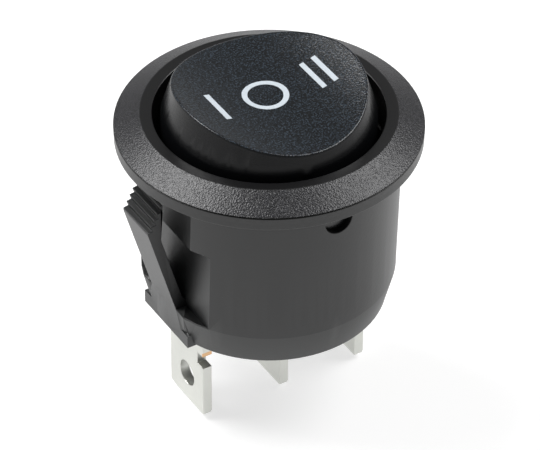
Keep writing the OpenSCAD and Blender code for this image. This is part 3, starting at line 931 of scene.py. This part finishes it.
@dataclass
class SnapAction:
    """The pieces inside that make the switch snap over.

    The spring is shown as a copy of its solid.
    """

    travel_mm: float = 0.9
    wire_sharp_deg: float = 60.0

    silver: Finish = WorkedSurface(
        "headed silver alloy", "#dedfe0", 0.3, metallic=1.0, second_colour="#c9cacc",
    )
    copper: Finish = WorkedSurface(
        "rolled copper strip", "#c98558", 0.32,
        metallic=1.0, second_colour="#b8754a", stretch=(0.1, 1.0, 1.0),
    )
    steel: Finish = WorkedSurface(
        "drawn spring wire", "#b4b8bd", 0.28, metallic=1.0, second_colour="#9a9ea3", mark_mm=0.05,
    )
    acetal: Finish = WorkedSurface(
        "turned acetal", "#e9e6dc", 0.42, ior=1.48, second_colour="#dedbd0", stretch=(0.2, 0.2, 1.0),
    )

    def dress(self, nodes: Iterable[str], finish: Finish) -> None:
        """Gives some of the frame's pieces one finish.

        Args:
            nodes: names of the pieces.
            finish: their finish.
        """
        material = finish.build()
        for name in nodes:
            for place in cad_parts[name].material_slots:
                place.material = material
            log.info("%s: %s", name, material.name)

    def coil(self) -> None:
        """Shows the spring as a copy of its solid, with its own mesh."""
        spring = SoftenedSolid(
            "plunger_spring", "rocker_body", "spring_steel", self.steel.build(),
            sharp_deg=self.wire_sharp_deg,
        ).build()
        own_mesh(spring)

    def build(self) -> None:
        """Dresses the rivets, the strip and the plunger, and shows the spring."""
        rivets = [f"{side}_{kind}_rivet" for side in ("i_side", "ii_side") for kind in ("fixed", "moving")]
        self.dress(rivets, self.silver)
        self.dress(["moving_contact"], self.copper)
        self.dress(["plunger"], self.acetal)
        self.coil()


# ---- Studio --------------------------------------------------------------------------------


@dataclass(frozen=True)
class Softbox:
    """A square soft light that faces the switch."""

    name: str
    azimuth_deg: float
    elevation_deg: float
    size_m: float
    watts: float
    away_m: float = 0.9


@dataclass
class Studio:
    """Pale floor, soft lights and the camera. Azimuth 0 is the -Y side and 90 the +X side."""

    azimuth_deg: float = -31.4
    elevation_deg: float = 38.745
    distance_mm: float = 287.6
    roll_deg: float = 0.36
    aim_mm: tuple[float, float, float] = (0.0, 0.0, -8.68)
    aim_right_mm: float = 0.111
    lens_mm: float = 255.33
    sensor_mm: float = 36.0
    floor_m: float = 6.0
    clip_m: tuple[float, float] = (0.01, 20.0)
    paper: Finish = StudioPaper("white backdrop paper", "#bababa", 0.6)
    softboxes: tuple[Softbox, ...] = (
        Softbox("left softbox", -139.4, 56.0, 0.5, 7.2),
        Softbox("right softbox", 80.6, 52.0, 0.5, 4.6),
    )
    horizon: float = 0.42
    back: float = 0.22
    zenith: float = 0.25
    back_height: float = 0.62
    camera_side: float = 0.5
    dim_from: float = 0.3

    def toward(self, azimuth_deg: float, elevation_deg: float) -> Vector:
        """Gives the direction from the switch to a point round it.

        Args:
            azimuth_deg: turn about Z.
            elevation_deg: height above the horizon.

        Returns:
            The unit vector.
        """
        turn, lift = math.radians(azimuth_deg), math.radians(elevation_deg)
        return Vector((math.sin(turn) * math.cos(lift), -math.cos(turn) * math.cos(lift), math.sin(lift)))

    def camera(self) -> None:
        """Places the camera."""
        back = self.toward(self.azimuth_deg, self.elevation_deg)
        turn, roll = math.radians(self.azimuth_deg), math.radians(self.roll_deg)
        right = Vector((math.cos(turn), math.sin(turn), 0))
        up = back.cross(right)
        rolled_right = right * math.cos(roll) + up * math.sin(roll)
        rolled_up = up * math.cos(roll) - right * math.sin(roll)
        data = bpy.data.cameras.new("camera")
        data.sensor_width = self.sensor_mm
        data.lens = self.lens_mm
        data.clip_start, data.clip_end = self.clip_m
        lens = show(bpy.data.objects.new("camera", data))
        aim = Vector(self.aim_mm) + right * self.aim_right_mm
        rotation = Matrix((rolled_right, rolled_up, back)).transposed()
        lens.matrix_world = Matrix.Translation((aim + back * self.distance_mm) * MM) @ rotation.to_4x4()
        bpy.context.scene.camera = lens

    def floor(self, height: float) -> None:
        """Lays the pale floor under the blades.

        Args:
            height: level of the floor, in metres.
        """
        shape = bmesh.new()
        bmesh.ops.create_grid(shape, x_segments=1, y_segments=1, size=self.floor_m / 2)
        bmesh.ops.translate(shape, verts=shape.verts, vec=(0, 0, height))
        mesh = bpy.data.meshes.new("floor")
        shape.to_mesh(mesh)
        shape.free()
        mesh.materials.append(self.paper.build())
        show(bpy.data.objects.new("floor", mesh))

    def hang(self, box: Softbox) -> None:
        """Hangs one softbox.

        Args:
            box: the light.
        """
        data = bpy.data.lights.new(box.name, "AREA")
        data.shape = "SQUARE"
        data.size = box.size_m
        data.energy = box.watts
        lamp = show(bpy.data.objects.new(box.name, data))
        direction = self.toward(box.azimuth_deg, box.elevation_deg)
        lamp.location = direction * box.away_m
        lamp.rotation_mode = "QUATERNION"
        lamp.rotation_quaternion = direction.to_track_quat("Z", "Y")

    def surroundings(self) -> None:
        """Fills the room with pale light: dimmer halfway up and toward the camera, and brighter overhead."""
        world = bpy.data.worlds.new("studio room")
        world.use_nodes = True
        tree = world.node_tree
        tree.nodes.clear()
        facing = add_node(tree, "ShaderNodeTexCoord").outputs["Generated"]
        height = add_node(tree, "ShaderNodeSeparateXYZ", {0: facing}).outputs["Z"]
        walls = add_node(tree, "ShaderNodeMapRange", {
            "Value": height, "From Max": self.back_height, "To Min": self.horizon, "To Max": self.back,
        })
        ceiling = add_node(tree, "ShaderNodeMapRange", {
            "Value": height, "From Min": self.back_height, "To Max": self.zenith - self.back,
        })
        toward_camera = add_node(tree, "ShaderNodeVectorMath", {
            0: facing, 1: self.toward(self.azimuth_deg, 0),
        }, operation="DOT_PRODUCT").outputs["Value"]
        dimmed = add_node(tree, "ShaderNodeMapRange", {
            "Value": toward_camera, "From Min": self.dim_from, "To Min": 1.0, "To Max": self.camera_side,
        })
        room = add_node(tree, "ShaderNodeMath", {0: walls, 1: ceiling}, operation="ADD")
        strength = add_node(tree, "ShaderNodeMath", {0: room, 1: dimmed}, operation="MULTIPLY")
        glow = add_node(tree, "ShaderNodeBackground", {"Color": (1, 1, 1, 1), "Strength": strength})
        add_node(tree, "ShaderNodeOutputWorld", {"Surface": glow})
        bpy.context.scene.world = world

    def build(self, floor_height: float) -> None:
        """Sets up the whole studio.

        Args:
            floor_height: level of the floor, in metres.
        """
        self.camera()
        self.floor(floor_height)
        self.surroundings()
        for box in self.softboxes:
            self.hang(box)
        view = bpy.context.scene.view_settings
        view.view_transform = "Standard"
        view.look = "None"
        log.info("studio: %d softboxes", len(self.softboxes))


def main() -> None:
    """Builds the studio and the switch."""
    logging.basicConfig(level=logging.INFO, format="%(name)s: %(message)s")
    Studio().build(cad_box[0].z)
    for assembly in (Housing(), Rocker(), Terminals(), SnapAction()):
        assembly.build()


if __name__ == "__main__":
    main()
